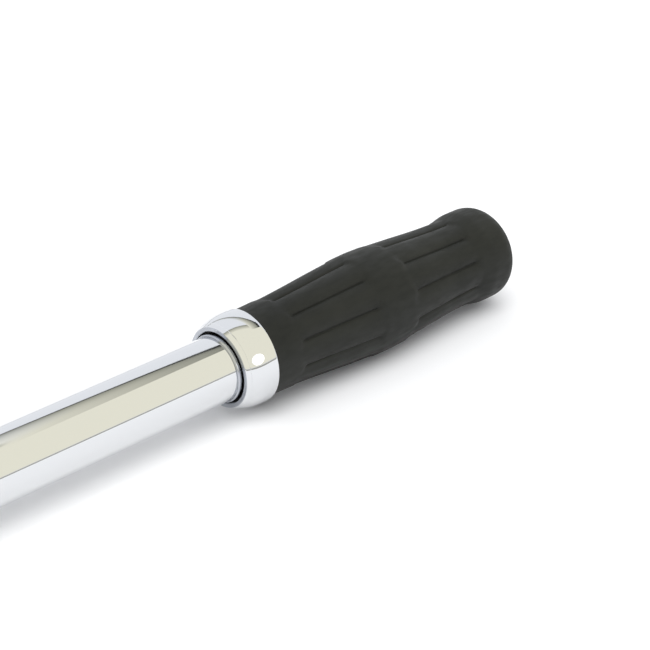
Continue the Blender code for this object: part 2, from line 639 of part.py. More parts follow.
def make_grip(body, rubber):
    """A rubber cup, open to the front, with shallow grooves between its long pads."""
    per_pad = 4
    segments = PAD_COUNT * per_pad
    stations = [GRIP_START + 0.1, 314.0, 318.0, 326.0, 335.0, 344.0, 352.0, 357.0, 362.5, 368.0, 372.0,
                382.0, 394.0, 405.5, 411.0, 416.0, GRIP_CAP_X, 426.5, 429.5, 431.0, GRIP_END]
    bm = bmesh.new()
    rows = []
    for x in stations:
        row = []
        for index in range(segments):
            turn = PAD_PHASE + 2.0 * math.pi * index / segments
            radius = grip_radius(x) - (pad_depth(x) if index % per_pad == 0 else 0.0)
            row.append(bm.verts.new((x, radius * math.sin(turn), radius * math.cos(turn))))
        rows.append(row)
    for near, far in zip(rows, rows[1:]):
        for index in range(segments):
            after = (index + 1) % segments
            bm.faces.new((near[index], near[after], far[after], far[index]))
    bm.faces.new(rows[-1])
    inside = []
    for x in (GRIP_START, SLEEVE_END + 0.6):
        turns = [PAD_PHASE + 2.0 * math.pi * index / segments for index in range(segments)]
        points = [(x, GRIP_BORE * math.sin(turn), GRIP_BORE * math.cos(turn)) for turn in turns]
        inside.append([bm.verts.new(point) for point in points])
    for near, far in ((rows[0], inside[0]), (inside[0], inside[1])):
        for index in range(segments):
            after = (index + 1) % segments
            bm.faces.new((near[index], far[index], far[after], near[after]))
    bm.faces.new(inside[1])
    return mesh_object("grip", bm, body, rubber)


def main():
    for old in list(bpy.data.objects):
        bpy.data.objects.remove(old, do_unlink=True)

    chrome = material("chrome", (0.78, 0.78, 0.79), 0.05, 1.0)
    steel = material("machined_steel", (0.55, 0.55, 0.56), 0.3, 1.0)
    dark = material("dark_steel", (0.20, 0.20, 0.21), 0.35, 1.0)
    rubber = material("black_rubber", (0.030, 0.032, 0.031), 0.62, 0.0)
    plastic = material("white_plastic", (0.80, 0.79, 0.76), 0.45, 0.0)

    tube = empty("tube_body", 0.0)
    head = empty("head_body", PIVOT_X, 0.0, tube)
    drive = empty("drive_body", 0.0, 0.0, head)
    socket = empty("ball_body", 0.0, HEAD_HALF + SQUARE_LENGTH - BALL_Z, drive)
    lever = empty("lever_body", PAWL_X, 0.0, head)
    pawl = empty("pawl_body", PAWL_X, 0.0, head)
    plunger = empty("plunger_body", PLUNGER_START, 0.0, tube)
    tilt = empty("tilt_body", TILT_X, 0.0, plunger)
    adjuster = empty("adjuster_body", SEAT_START, 0.0, tube)
    handle = empty("handle_body", GRIP_END, 0.0, adjuster)
    collar = empty("collar_body", COLLAR_FRONT, 0.0, handle)

    make_head(head, chrome, dark)
    make_drive(drive, socket, chrome, dark)
    make_pawl(pawl, steel)
    make_lever(lever, chrome, dark, -grip_radius(GRIP_SWELL_X))
    make_tube(tube, chrome, steel, dark)
    make_click(tilt, plunger, steel, dark, plastic)
    make_adjuster(adjuster, steel, dark)
    pin_x = make_screw(handle, steel, dark)
    make_sleeve(handle, steel, dark, pin_x)
    make_collar(collar, chrome, dark)
    make_grip(handle, rubber)

    # The lever and the pawl lean to one side at rest, each about its own axis.
    lever.rotation_euler.z = -LEVER_TURN
    pawl.rotation_euler.z = PAWL_ROCK


main()
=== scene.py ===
import json
import math

import bmesh
import bpy
from mathutils import Matrix, Vector


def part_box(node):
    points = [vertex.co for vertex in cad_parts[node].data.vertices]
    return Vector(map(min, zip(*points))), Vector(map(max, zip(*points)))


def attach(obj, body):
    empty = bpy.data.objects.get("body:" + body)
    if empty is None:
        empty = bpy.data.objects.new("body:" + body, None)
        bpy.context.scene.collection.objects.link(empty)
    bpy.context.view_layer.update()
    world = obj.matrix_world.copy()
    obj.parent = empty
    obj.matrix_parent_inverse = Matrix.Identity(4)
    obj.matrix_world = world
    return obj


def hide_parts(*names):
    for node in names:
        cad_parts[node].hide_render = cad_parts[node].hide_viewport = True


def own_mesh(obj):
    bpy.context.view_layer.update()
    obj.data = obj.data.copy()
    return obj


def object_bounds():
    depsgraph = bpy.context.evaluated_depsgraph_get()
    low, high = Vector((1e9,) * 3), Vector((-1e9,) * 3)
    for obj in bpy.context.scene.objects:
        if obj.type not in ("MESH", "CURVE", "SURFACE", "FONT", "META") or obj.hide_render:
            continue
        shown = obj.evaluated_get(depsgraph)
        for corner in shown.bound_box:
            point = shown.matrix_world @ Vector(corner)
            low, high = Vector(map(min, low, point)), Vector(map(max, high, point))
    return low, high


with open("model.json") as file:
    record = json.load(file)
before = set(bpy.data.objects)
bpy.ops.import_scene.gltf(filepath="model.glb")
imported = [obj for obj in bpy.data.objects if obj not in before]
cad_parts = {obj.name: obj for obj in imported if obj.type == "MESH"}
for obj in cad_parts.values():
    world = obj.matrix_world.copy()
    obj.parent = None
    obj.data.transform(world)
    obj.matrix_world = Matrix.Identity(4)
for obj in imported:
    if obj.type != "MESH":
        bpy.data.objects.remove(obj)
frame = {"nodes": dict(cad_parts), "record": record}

cad_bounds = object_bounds()

MM = 0.001
GAP = 0.3                      # clearance that the frame leaves between its pieces


def span(node, axis=0):
    """Lowest and highest coordinate of a frame node along one axis, in millimetres."""
    low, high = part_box(node)
    return low[axis] / MM, high[axis] / MM


AXIS_Z = sum(span("tube", 2)) / 2.0
TUBE_START, TUBE_END = span("tube")
TUBE_RADIUS = (span("tube", 1)[1] - span("tube", 1)[0]) / 2.0
TUBE_BORE = TUBE_RADIUS - 2.0
FLOOR_Z = cad_bounds[0][2] / MM
COLLAR_FRONT, COLLAR_REAR = span("lock_collar")
COLLAR_RIM = span("lock_collar", 1)[1]
COLLET_START, COLLET_END = span("guide_collet")
SLEEVE_RADIUS = span("handle_sleeve", 1)[1]
SLEEVE_END = span("handle_sleeve")[1]
GRIP_START = span("grip")[0]
GRIP_END = span("grip")[1] - 0.5
PIVOT_X = sum(span("pivot_pin")) / 2.0
PIVOT_RADIUS = (span("pivot_pin")[1] - span("pivot_pin")[0]) / 2.0
HEAD_HALF = span("ratchet_head", 2)[1] - AXIS_Z      # half the head's thickness
HEAD_RADIUS = span("ratchet_head", 1)[1]
TAIL_X, TAIL_RADIUS = 20.0, 11.5                     # the head's narrow end in plan
NECK_END = 45.3
SHANK_END = span("ratchet_head")[1]
CAVITY_HIGH = span("drive_bush", 2)[0] - AXIS_Z
SQUARE_HALF = 6.35
SQUARE_HIGH = span("drive_gear", 2)[1] - AXIS_Z - 0.02    # kept just inside the frame's box
GEAR_RADIUS = span("drive_gear", 1)[1]
GEAR_TEETH = 36
PAWL_X = 19.0
PAWL_POCKET_X, PAWL_POCKET_RADIUS = 13.5, 11.5
LEVER_SHAFT_HOLE = 1.8
SCREW_HOLE = 1.4
SHANK_HALF_WIDTH, SHANK_HALF_HEIGHT = 6.2, 6.5
BALL_Z = sum(span("socket_ball", 2)) / 2.0 - AXIS_Z
BALL_HOLE = 2.3
PLUNGER_STROKE = 1.3           # the plunger's 1.2 mm and a little more
NUT_PIN_X = sum(span("nut_pin_upper")) / 2.0
NUT_PIN_RADIUS = (span("nut_pin_upper")[1] - span("nut_pin_upper")[0]) / 2.0

# Grip
GRIP_BORE = SLEEVE_RADIUS + GAP
PAD_COUNT = 10
PAD_PHASE = math.radians(5.0)  # first groove's turn from the top, towards +Y
FRONT_ROW = (317.0, 356.5)
REAR_ROW = (372.0, 410.5)
GRIP_CAP_X = 422.0             # where the rounded end begins


# ---------------------------------------------------------------- meshes

def mesh_object(name, bm, look, smooth=35.0):
    """Put a mesh drawn in millimetres around the tube's axis into the scene."""
    bmesh.ops.scale(bm, vec=(MM, MM, MM), verts=bm.verts)
    bmesh.ops.translate(bm, vec=(0.0, 0.0, AXIS_Z * MM), verts=bm.verts)
    bmesh.ops.recalc_face_normals(bm, faces=bm.faces)
    mesh = bpy.data.meshes.new(name)
    bm.to_mesh(mesh)
    bm.free()
    mesh.shade_smooth()
    mesh.set_sharp_from_angle(angle=math.radians(smooth))
    obj = bpy.data.objects.new(name, mesh)
    bpy.context.scene.collection.objects.link(obj)
    obj.data.materials.append(look)
    return obj


def lattice(bm, rows, close_rows=False):
    """Quads between rings of points, each ring closed on itself."""
    made = [[bm.verts.new(point) for point in row] for row in rows]
    pairs = list(zip(made, made[1:]))
    if close_rows:
        pairs.append((made[-1], made[0]))
    for near, far in pairs:
        for index in range(len(near)):
            after = (index + 1) % len(near)
            bm.faces.new((near[index], near[after], far[after], far[index]))
    return made


def full_turn(count):
    """Evenly spaced angles once round, in radians."""
    return [2.0 * math.pi * index / count for index in range(count)]


def around(x, radius, count):
    """A ring of points round the tube's axis; radius is a number or a function of the turn."""
    points = []
    for turn in full_turn(count):
        reach = radius(turn) if callable(radius) else radius
        points.append((x, reach * math.sin(turn), reach * math.cos(turn)))
    return points


def turned(name, profile, look, segments=160, smooth=35.0):
    """A closed solid turned round the tube's axis from a loop of (x, radius) points."""
    bm = bmesh.new()
    lattice(bm, [around(x, radius, segments) for x, radius in profile], close_rows=True)
    return mesh_object(name, bm, look, smooth)


def fillet(start, corner, end, count=5):
    """Points of a rounded corner from start to end, as a quadratic curve pulled to corner."""
    points = []
    for index in range(count):
        t = index / (count - 1)
        points.append(tuple((1 - t) ** 2 * a + 2 * t * (1 - t) * b + t * t * c
                            for a, b, c in zip(start, corner, end)))
    return points


def cylinder(centre, radius, length, axis="Z", segments=96):
    """A plain round tool for cutting or joining; its look comes from the piece it shapes."""
    bm = bmesh.new()
    turn = Matrix.Rotation(math.radians(90.0), 4, "X") if axis == "Y" else Matrix.Identity(4)
    bmesh.ops.create_cone(bm, cap_ends=True, segments=segments, radius1=radius, radius2=radius,
                          depth=length, matrix=Matrix.Translation(centre) @ turn)
    return mesh_object("tool", bm, chrome)


def flatten_shading(piece):
    """Let large faces set the shading normals next to rounded edges."""
    flat = piece.modifiers.new("flat faces", "WEIGHTED_NORMAL")
    flat.keep_sharp = True


def shape(piece, steps, smooth=30.0):
    """Join tools to a piece or cut them away, in order, and keep the result as its mesh."""
    for operation, tool in steps:
        step = piece.modifiers.new("step", "BOOLEAN")
        step.operation = operation
        step.object = tool
        step.solver = "EXACT"
    flatten_shading(piece)
    bpy.context.view_layer.update()
    shaped = piece.evaluated_get(bpy.context.evaluated_depsgraph_get())
    piece.data = bpy.data.meshes.new_from_object(shaped)
    piece.modifiers.clear()
    piece.data.set_sharp_from_angle(angle=math.radians(smooth))
    for _, tool in steps:
        bpy.data.objects.remove(tool, do_unlink=True)
    flatten_shading(piece)


def stand_for(piece, node, body):
    """Put a piece in place of a frame node, on its body."""
    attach(piece, body)
    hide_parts(node)
    return piece


# ---------------------------------------------------------------- materials

def new_look(name, colour, roughness, metallic):
    look = bpy.data.materials.new(name)
    look.use_nodes = True
    shader = look.node_tree.nodes["Principled BSDF"]
    shader.inputs["Base Color"].default_value = (*colour, 1.0)
    shader.inputs["Roughness"].default_value = roughness
    shader.inputs["Metallic"].default_value = metallic
    return look, shader


def noise(look, scale, detail=3.0, stretch=(1.0, 1.0, 1.0)):
    """Noise over the object's own coordinates, stretched along the given axes."""
    nodes = look.node_tree.nodes
    place = nodes.new("ShaderNodeTexCoord")
    mapping = nodes.new("ShaderNodeMapping")
    mapping.inputs["Scale"].default_value = stretch
    texture = nodes.new("ShaderNodeTexNoise")
    texture.inputs["Scale"].default_value = scale
    texture.inputs["Detail"].default_value = detail
    look.node_tree.links.new(place.outputs["Object"], mapping.inputs["Vector"])
    look.node_tree.links.new(mapping.outputs["Vector"], texture.inputs["Vector"])
    return texture.outputs["Fac"]


def ramp(look, source, low, high, first, last):
    """Map a value from low..high to first..last, both numbers or both colours."""
    node = look.node_tree.nodes.new("ShaderNodeValToRGB")
    node.color_ramp.elements[0].position = low
    node.color_ramp.elements[1].position = high
    for element, value in zip(node.color_ramp.elements, (first, last)):
        grey = (value, value, value) if isinstance(value, float) else value
        element.color = (*grey, 1.0)
    look.node_tree.links.new(source, node.inputs["Fac"])
    return node.outputs["Color"]


def bump(look, shader, source, strength, distance):
    node = look.node_tree.nodes.new("ShaderNodeBump")
    node.inputs["Strength"].default_value = strength
    node.inputs["Distance"].default_value = distance
    look.node_tree.links.new(source, node.inputs["Height"])
    look.node_tree.links.new(node.outputs["Normal"], shader.inputs["Normal"])


def glow_look(name):
    """A plain light-giving material, with its emission node for the colour."""
    look = bpy.data.materials.new(name)
    look.use_nodes = True
    nodes = look.node_tree.nodes
    nodes.clear()
    glow = nodes.new("ShaderNodeEmission")
    glow.inputs["Strength"].default_value = 1.0
    output = nodes.new("ShaderNodeOutputMaterial")
    look.node_tree.links.new(glow.outputs["Emission"], output.inputs["Surface"])
    return look, glow


def chrome_look():
    """Bright plating with faint polishing marks and a little haze."""
    roughness = 0.035
    look, shader = new_look("chrome", (0.70, 0.71, 0.725), roughness, 1.0)
    haze = noise(look, 60.0, 4.0)
    link = look.node_tree.links.new
    link(ramp(look, haze, 0.35, 0.75, roughness, roughness + 0.03), shader.inputs["Roughness"])
    marks = noise(look, 900.0, 2.0, (0.05, 1.0, 1.0))
    bump(look, shader, marks, 0.04, 0.00002)
    return look


def steel_look(name, colour, roughness):
    """Machined steel: fine tool marks and uneven tone."""
    look, shader = new_look(name, colour, roughness, 1.0)
    link = look.node_tree.links.new
    tone = noise(look, 220.0, 5.0)
    dark = tuple(0.82 * value for value in colour)
    link(ramp(look, tone, 0.3, 0.7, dark, colour), shader.inputs["Base Color"])
    marks = noise(look, 2500.0, 2.0, (1.0, 0.03, 0.03))
    link(ramp(look, marks, 0.3, 0.7, roughness - 0.07, roughness + 0.10),
         shader.inputs["Roughness"])
    bump(look, shader, marks, 0.25, 0.00003)
    return look


def rubber_look():
    """Matt moulded rubber: fine grain, a dusty bloom and faint scuffs."""
    look, shader = new_look("black_rubber", (0.011, 0.012, 0.010), 0.58, 0.0)
    shader.inputs["Specular IOR Level"].default_value = 0.24
    link = look.node_tree.links.new
    bloom = noise(look, 38.0, 6.0)
    link(ramp(look, bloom, 0.32, 0.72, (0.0085, 0.0095, 0.0080), (0.0165, 0.0175, 0.0145)),
         shader.inputs["Base Color"])
    scuffs = noise(look, 420.0, 5.0, (0.35, 1.0, 1.0))
    link(ramp(look, scuffs, 0.35, 0.7, 0.50, 0.66), shader.inputs["Roughness"])
    grain = noise(look, 3200.0, 2.0)
    bump(look, shader, grain, 0.35, 0.00006)
    return look


def plastic_look(name, colour, roughness):
    """Moulded plastic: an uneven tone and a fine grain."""
    look, shader = new_look(name, colour, roughness, 0.0)
    link = look.node_tree.links.new
    tone = noise(look, 90.0, 4.0)
    dark = tuple(0.9 * value for value in colour)
    link(ramp(look, tone, 0.3, 0.7, dark, colour), shader.inputs["Base Color"])
    bump(look, shader, noise(look, 1800.0, 2.0), 0.15, 0.00004)
    return look


# ---------------------------------------------------------------- the handle

def smooth_step(low, high, value):
    share = min(1.0, max(0.0, (value - low) / (high - low)))
    return share * share * (3.0 - 2.0 * share)


def grip_envelope(x):
    """The grip's outline over its pads: a swell under the palm, a waist, a flared round end."""
    swell_x, waist_x, flare_x = 362.5, 409.5, 417.0
    front, swell, waist, flare, flat = 16.3, 19.45, 17.1, 18.1, 6.5
    if x < swell_x:
        return front + (swell - front) * smooth_step(GRIP_START, swell_x + 3.0, x) ** 1.1
    if x < waist_x:
        return swell + (waist - swell) * smooth_step(swell_x, waist_x, x)
    if x < GRIP_CAP_X:
        return waist + (flare - waist) * smooth_step(waist_x, flare_x, x)
    share = min(1.0, (x - GRIP_CAP_X) / (GRIP_END - GRIP_CAP_X))
    return flat + (flare - flat) * math.sqrt(max(0.0, 1.0 - share ** 2.4))


def grip_radius(x, turn):
    """The envelope less the narrow grooves and the fall of each pad towards them."""
    outer = grip_envelope(x)
    pads = (turn - PAD_PHASE) * PAD_COUNT / (2.0 * math.pi)
    across = 2.0 * abs(pads - math.floor(pads) - 0.5)      # 0 on a pad's crown, 1 in a groove
    round_end = 2.4 * across ** 2
    inside = 0.0
    for start, end in (FRONT_ROW, REAR_ROW):
        rise = smooth_step(start + round_end - 2.0, start + round_end + 1.5, x)
        fall = 1.0 - smooth_step(end - round_end - 1.0, end - round_end + 2.0, x)
        inside = max(inside, rise * fall)
    lobe = 0.95 * across ** 2.2
    groove_half = 0.11
    groove = 0.50 * max(0.0, 1.0 - ((1.0 - across) / groove_half) ** 2)
    return outer - inside * (0.12 + lobe + groove)


def make_grip(look):
    """The rubber grip: two rows of pads, a rounded end and the bore that fits the sleeve."""
    around_count = PAD_COUNT * 26
    stations = []
    x = GRIP_START + 0.6
    while x < GRIP_CAP_X - 1.0:
        stations.append(x)
        x += 0.75
    cap = 22
    for index in range(cap + 1):
        share = math.sin(0.5 * math.pi * index / cap)
        stations.append(GRIP_CAP_X + (GRIP_END - GRIP_CAP_X) * share)
    rows = [around(GRIP_START, GRIP_BORE, around_count),
            around(GRIP_START, grip_envelope(GRIP_START) - 0.5, around_count)]
    rows += [around(x, lambda turn, x=x: grip_radius(x, turn), around_count)
             for x in stations]
    bm = bmesh.new()
    made = lattice(bm, rows)
    bm.faces.new(made[-1])
    bore = lattice(bm, [around(SLEEVE_END + 0.6, GRIP_BORE, around_count),
                        around(GRIP_START, GRIP_BORE, around_count)])
    bm.faces.new(bore[0])
    bmesh.ops.remove_doubles(bm, verts=bm.verts, dist=1e-4)
    grip = mesh_object("rubber_grip", bm, look, 40.0)
    return stand_for(grip, "grip", "handle")


def paint_inside(piece, start, reach, look):
    """Give a second look to a turned piece's faces behind start and within reach of the axis."""
    # the second look is painted shade: a recess that lies in shadow is drawn near-black
    piece.data.materials.append(look)
    for face in piece.data.polygons:
        x, y, z = (value / MM for value in face.center)
        if x > start and math.hypot(y, z - AXIS_Z) < reach:
            face.material_index = 1


def make_collar(look, inside, face_look):
    """The domed lock collar, polished, with a flat front face and a small lip behind."""
    nose = 14.8
    mouth = 13.2
    slide = SLEEVE_RADIUS + GAP
    dome = []
    count = 28
    top_x = COLLAR_REAR - 0.9
    for index in range(count + 1):
        share = index / count
        bulge = 1.0 - (1.0 - share) ** 2.6
        dome.append((COLLAR_FRONT + 0.12 + (top_x - COLLAR_FRONT - 0.12) * share,
                     nose + (COLLAR_RIM - nose) * bulge))
    lip = fillet((COLLAR_REAR - 0.5, COLLAR_RIM), (COLLAR_REAR, COLLAR_RIM),
                 (COLLAR_REAR, COLLAR_RIM - 0.4))
    web_front, web_rear = COLLAR_REAR - 4.3, COLLAR_REAR - 1.5
    skirt, recess = 17.0, 15.7
    profile = [(COLLAR_FRONT + 0.25, mouth), (COLLAR_FRONT, mouth + 0.25),
               (COLLAR_FRONT, nose - 0.15)]
    profile += dome + lip
    profile += [(COLLAR_REAR, skirt), (web_rear, skirt), (web_rear, slide), (web_front, slide),
                (web_front, recess), (COLLAR_FRONT + 1.7, recess),
                (COLLAR_FRONT + 1.3, mouth + 0.3), (COLLAR_FRONT + 1.0, mouth)]
    piece = turned("chrome_lock_collar", profile, look, 192, 25.0)
    # painted shade: the collar's shaded inside is drawn near-black
    paint_inside(piece, COLLAR_FRONT + 0.2, 14.5, inside)
    piece.data.materials.append(face_look)
    for face in piece.data.polygons:
        if face.center.x < (COLLAR_FRONT + 0.1) * MM:
            face.material_index = 2
    return stand_for(piece, "lock_collar", "lock_collar")


def make_collet(look, inside):
    """The slim bevelled nose of the guide collet that shows between tube and collar."""
    nose = 12.5
    rear = 13.3
    inner = TUBE_RADIUS + 0.05
    profile = [(COLLET_START, inner), (COLLET_START + 0.1, inner + 0.1)]
    profile += fillet((COLLET_START + 0.35, nose - 0.1), (COLLET_START + 0.5, nose),
                      (COLLET_START + 0.8, nose))
    profile += [(COLLAR_FRONT + 0.2, nose), (COLLAR_FRONT + 0.2, nose - 0.2),
                (COLLET_END - 0.9, nose - 0.2), (COLLET_END - 0.9, rear), (COLLET_END, rear),
                (COLLET_END, inner)]
    piece = turned("polished_collet", profile, look, 160, 30.0)
    # painted shade: the collet's shaded inside is drawn near-black
    paint_inside(piece, COLLAR_FRONT, 13.5, inside)
    return stand_for(piece, "guide_collet", "handle")


def make_tube(look):
    """The round tube with rounded ends and the holes for its pivot and nut pins."""
    edge = 0.5
    profile = fillet((TUBE_START, TUBE_RADIUS - edge), (TUBE_START, TUBE_RADIUS),
                     (TUBE_START + edge, TUBE_RADIUS))
    steps = 40
    length = TUBE_END - TUBE_START - 2.0 * edge
    profile += [(TUBE_START + edge + length * index / steps, TUBE_RADIUS)
                for index in range(1, steps)]
    profile += fillet((TUBE_END - edge, TUBE_RADIUS), (TUBE_END, TUBE_RADIUS),
                      (TUBE_END, TUBE_RADIUS - edge))
    profile += [(TUBE_END, TUBE_BORE), (TUBE_START, TUBE_BORE)]
    tube = turned("chrome_tube", profile, look, 192, 30.0)
    through = 4.0 * TUBE_RADIUS
    shape(tube, [("DIFFERENCE", cylinder((PIVOT_X, 0.0, 0.0), PIVOT_RADIUS + GAP, through)),
                 ("DIFFERENCE", cylinder((NUT_PIN_X, 0.0, 0.0), NUT_PIN_RADIUS + GAP, through))])
    return stand_for(tube, "tube", "tube")


# ---------------------------------------------------------------- the ratchet head

def teardrop(grow):
    """The head's outline in plan: a big circle and a small one with their tangents."""
    big = HEAD_RADIUS + grow
    small = TAIL_RADIUS + grow
    lean = math.acos((big - small) / TAIL_X)
    points = []
    for middle, radius, start, end, count in ((0.0, big, lean, 2.0 * math.pi - lean, 97),
                                              (TAIL_X, small, -lean, lean, 45)):
        for index in range(count):
            turn = start + (end - start) * index / (count - 1)
            points.append((middle + radius * math.cos(turn), radius * math.sin(turn)))
    return points


def rounded_box(half_width, half_height, corner, count=9):
    """The outline of a rectangle with round corners."""
    points = []
    for quarter, (side, level) in enumerate(((1, 1), (-1, 1), (-1, -1), (1, -1))):
        for index in range(count):
            turn = (quarter + index / (count - 1)) * math.pi / 2.0
            points.append((side * (half_width - corner) + corner * math.cos(turn),
                           level * (half_height - corner) + corner * math.sin(turn)))
    return points


def solid(name, rows, look):
    """A closed solid through a row of outlines, flat at both ends."""
    bm = bmesh.new()
    made = lattice(bm, rows)
    bm.faces.new(made[0])
    bm.faces.new(made[-1])
    return mesh_object(name, bm, look, 30.0)


def make_head(look):
    """The head with soft edges, its neck and the shank that runs on inside the tube."""
    soft = 2.2
    steps = 7
    turns = [0.5 * math.pi * index / steps for index in range(steps + 1)]
    low = [(soft * (math.sin(turn) - 1.0), soft * (1.0 - math.cos(turn)) - HEAD_HALF)
           for turn in turns]
    profile = low + [(grow, -z) for grow, z in reversed(low)]
    rows = [[(x, y, z) for x, y in teardrop(grow)] for grow, z in profile]
    head = solid("chrome_ratchet_head", rows, look)

    wide, tall = 9.0, 8.5                       # half the neck's width and height at the tube
    neck = [(10.0, wide + 2.2, tall + 0.4, 3.0), (25.0, wide + 1.9, tall + 0.3, 3.0),
            (30.0, wide + 0.9, tall + 0.1, 3.0), (36.0, wide + 0.2, tall, 3.0),
            (NECK_END - 0.9, wide, tall, 3.0), (NECK_END - 0.3, wide - 0.2, tall - 0.2, 2.8),
            (NECK_END, wide - 0.8, tall - 0.8, 2.2),
            (NECK_END, SHANK_HALF_WIDTH, SHANK_HALF_HEIGHT, 0.8),
            (PIVOT_X + 8.0, SHANK_HALF_WIDTH, SHANK_HALF_HEIGHT, 0.8),
            (SHANK_END - 0.5, 4.0, SHANK_HALF_HEIGHT, 0.8),
            (SHANK_END, 3.5, SHANK_HALF_HEIGHT - 0.5, 0.6)]
    rows = [[(x, y, z) for y, z in rounded_box(*outline)] for x, *outline in neck]
    bush_hole = span("drive_bush", 1)[1] + GAP
    cavity = CAVITY_HIGH + HEAD_HALF + 1.0
    middle = CAVITY_HIGH - cavity / 2.0
    recess = [[(x, y, z) for x, y in teardrop(GAP - 3.5)]
              for z in (-HEAD_HALF - 1.0, 2.0 - HEAD_HALF)]
    cuts = [solid("recess", recess, look),
            cylinder((0.0, 0.0, middle), GEAR_RADIUS + 0.6, cavity),
            cylinder((PAWL_POCKET_X, 0.0, middle), PAWL_POCKET_RADIUS, cavity),
            cylinder((0.0, 0.0, HEAD_HALF), bush_hole, 2.0 * (HEAD_HALF - CAVITY_HIGH) + 1.0),
            cylinder((PAWL_X, 0.0, CAVITY_HIGH), LEVER_SHAFT_HOLE, 6.0),
            cylinder((PIVOT_X, 0.0, 0.0), PIVOT_RADIUS + GAP, 20.0)]
    for number in (1, 2, 3):
        x, y = (sum(span(f"cover_screw_{number}", axis)) / 2.0 for axis in (0, 1))
        cuts.append(cylinder((x, y, 4.0 - HEAD_HALF), SCREW_HOLE, 8.0, segments=32))
    steps = [("UNION", solid("neck", rows, look))] + [("DIFFERENCE", tool) for tool in cuts]
    shape(head, steps, 24.0)
    return stand_for(head, "ratchet_head", "head")


def make_drive(look):
    """The toothed wheel with its bosses and the drive square, which has rounded edges."""
    low, high = (edge - AXIS_Z for edge in (span("pawl", 2)[0] - GAP, span("pawl", 2)[1] + GAP))
    rear = span("drive_gear", 2)[0] - AXIS_Z
    front = HEAD_HALF + 0.4
    rear_boss, front_boss, step = 6.0, 9.2, -3.0
    circles = [(rear_boss - 0.4, rear), (rear_boss, rear + 0.4), (rear_boss, step),
               (front_boss, step), (front_boss, front - 0.5), (front_boss - 0.15, front - 0.12),
               (front_boss - 0.5, front)]
    rows = [[(radius * math.cos(turn), radius * math.sin(turn), z) for turn in full_turn(128)]
            for radius, z in circles]
    drive = solid("chrome_drive", rows, look)

    outline = []
    for index in range(GEAR_TEETH):
        for share, drop in ((-0.08, 0.0), (0.08, 0.0), (0.42, 1.0), (0.58, 1.0)):
            turn = 2.0 * math.pi * (index + share) / GEAR_TEETH
            reach = GEAR_RADIUS - drop
            outline.append((reach * math.cos(turn), reach * math.sin(turn)))
    wheel = solid("wheel", [[(x, y, z) for x, y in outline] for z in (low, high)], look)

    square = [(SQUARE_HALF, 4.0), (SQUARE_HALF, SQUARE_HIGH - 0.9),
              (SQUARE_HALF - 0.15, SQUARE_HIGH - 0.4), (SQUARE_HALF - 0.7, SQUARE_HIGH)]
    rows = [[(x, y, z) for x, y in rounded_box(size, size, 1.3)] for size, z in square]
    ball_hole = cylinder((0.0, SQUARE_HALF - 3.0, BALL_Z), BALL_HOLE, 8.0, "Y", 64)
    shape(drive, [("UNION", wheel), ("UNION", solid("square", rows, look)),
                  ("DIFFERENCE", ball_hole)], 24.0)
    return stand_for(drive, "drive_gear", "drive")


# ---------------------------------------------------------------- the springs

def make_main_spring(look):
    """The coil the adjuster squeezes. It starts clear of the plunger's stroke, inside the tube."""
    front, rear = span("main_spring")
    front += PLUNGER_STROKE
    wire, mean, turns, steps = 1.6, 7.5, 13, 36
    low, high = front + wire, rear - wire
    closed = 2.1 * wire / (high - low)          # share of the length in each closed end turn
    rows = []
    for index in range(turns * steps + 1):
        turn = index / steps
        if turn < 1.0:
            share = closed * turn
        elif turn > turns - 1.0:
            share = 1.0 - closed * (turns - turn)
        else:
            share = closed + (1.0 - 2.0 * closed) * (turn - 1.0) / (turns - 2.0)
        angle = 2.0 * math.pi * turn
        out = Vector((0.0, math.cos(angle), math.sin(angle)))
        along = Vector(((high - low) / turns, -2.0 * math.pi * mean * out.z,
                        2.0 * math.pi * mean * out.y))
        side = along.normalized().cross(out)
        centre = Vector((low + (high - low) * share, 0.0, 0.0)) + mean * out
        rows.append([centre + wire * (math.cos(bend) * out + math.sin(bend) * side)
                     for bend in full_turn(12)])
    spring = stand_for(solid("dark_main_spring", rows, look), "main_spring", "tube")
    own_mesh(spring)


def make_collar_spring(look):
    """The wave ring the lock collar presses flat."""
    front, rear = span("collar_spring")
    outer = span("collar_spring", 1)[1]
    inner = outer - 1.1
    half = 0.2                     # half the strip's thickness
    wave = (rear - front) / 2.0 - half
    rows = []
    for radius, side in ((inner, -half), (outer, -half), (outer, half), (inner, half)):
        rows.append([((front + rear) / 2.0 + side + wave * math.sin(3.0 * turn),
                      radius * math.sin(turn), radius * math.cos(turn)) for turn in full_turn(144)])
    bm = bmesh.new()
    lattice(bm, rows, close_rows=True)
    spring = stand_for(mesh_object("dark_collar_spring", bm, look), "collar_spring", "lock_collar")
    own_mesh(spring)


# ---------------------------------------------------------------- studio

def plain_plane(name, corners, look):
    mesh = bpy.data.meshes.new(name)
    mesh.from_pydata(corners, [], [(0, 1, 2, 3)])
    obj = bpy.data.objects.new(name, mesh)
    bpy.context.scene.collection.objects.link(obj)
    obj.data.materials.append(look)


def light_card(name, panels):
    """A flat light seen only in reflections: panels of (corners, colour at each corner)."""
    mesh = bpy.data.meshes.new(name)
    points = []
    shades = []
    faces = []
    for corners, colours in panels:
        faces.append(tuple(range(len(points), len(points) + len(corners))))
        points += [tuple(corner) for corner in corners]
        shades += colours
    mesh.from_pydata(points, [], faces)
    glow = mesh.attributes.new("glow", "FLOAT_COLOR", "POINT")
    for item, shade in zip(glow.data, shades):
        item.color = (*shade, 1.0)
    look, emitter = glow_look(name)
    tint = look.node_tree.nodes.new("ShaderNodeAttribute")
    tint.attribute_name = "glow"
    look.node_tree.links.new(tint.outputs["Color"], emitter.inputs["Color"])
    mesh.materials.append(look)
    obj = bpy.data.objects.new(name, mesh)
    bpy.context.scene.collection.objects.link(obj)
    obj.visible_diffuse = False
    obj.visible_shadow = False
    obj.visible_camera = False


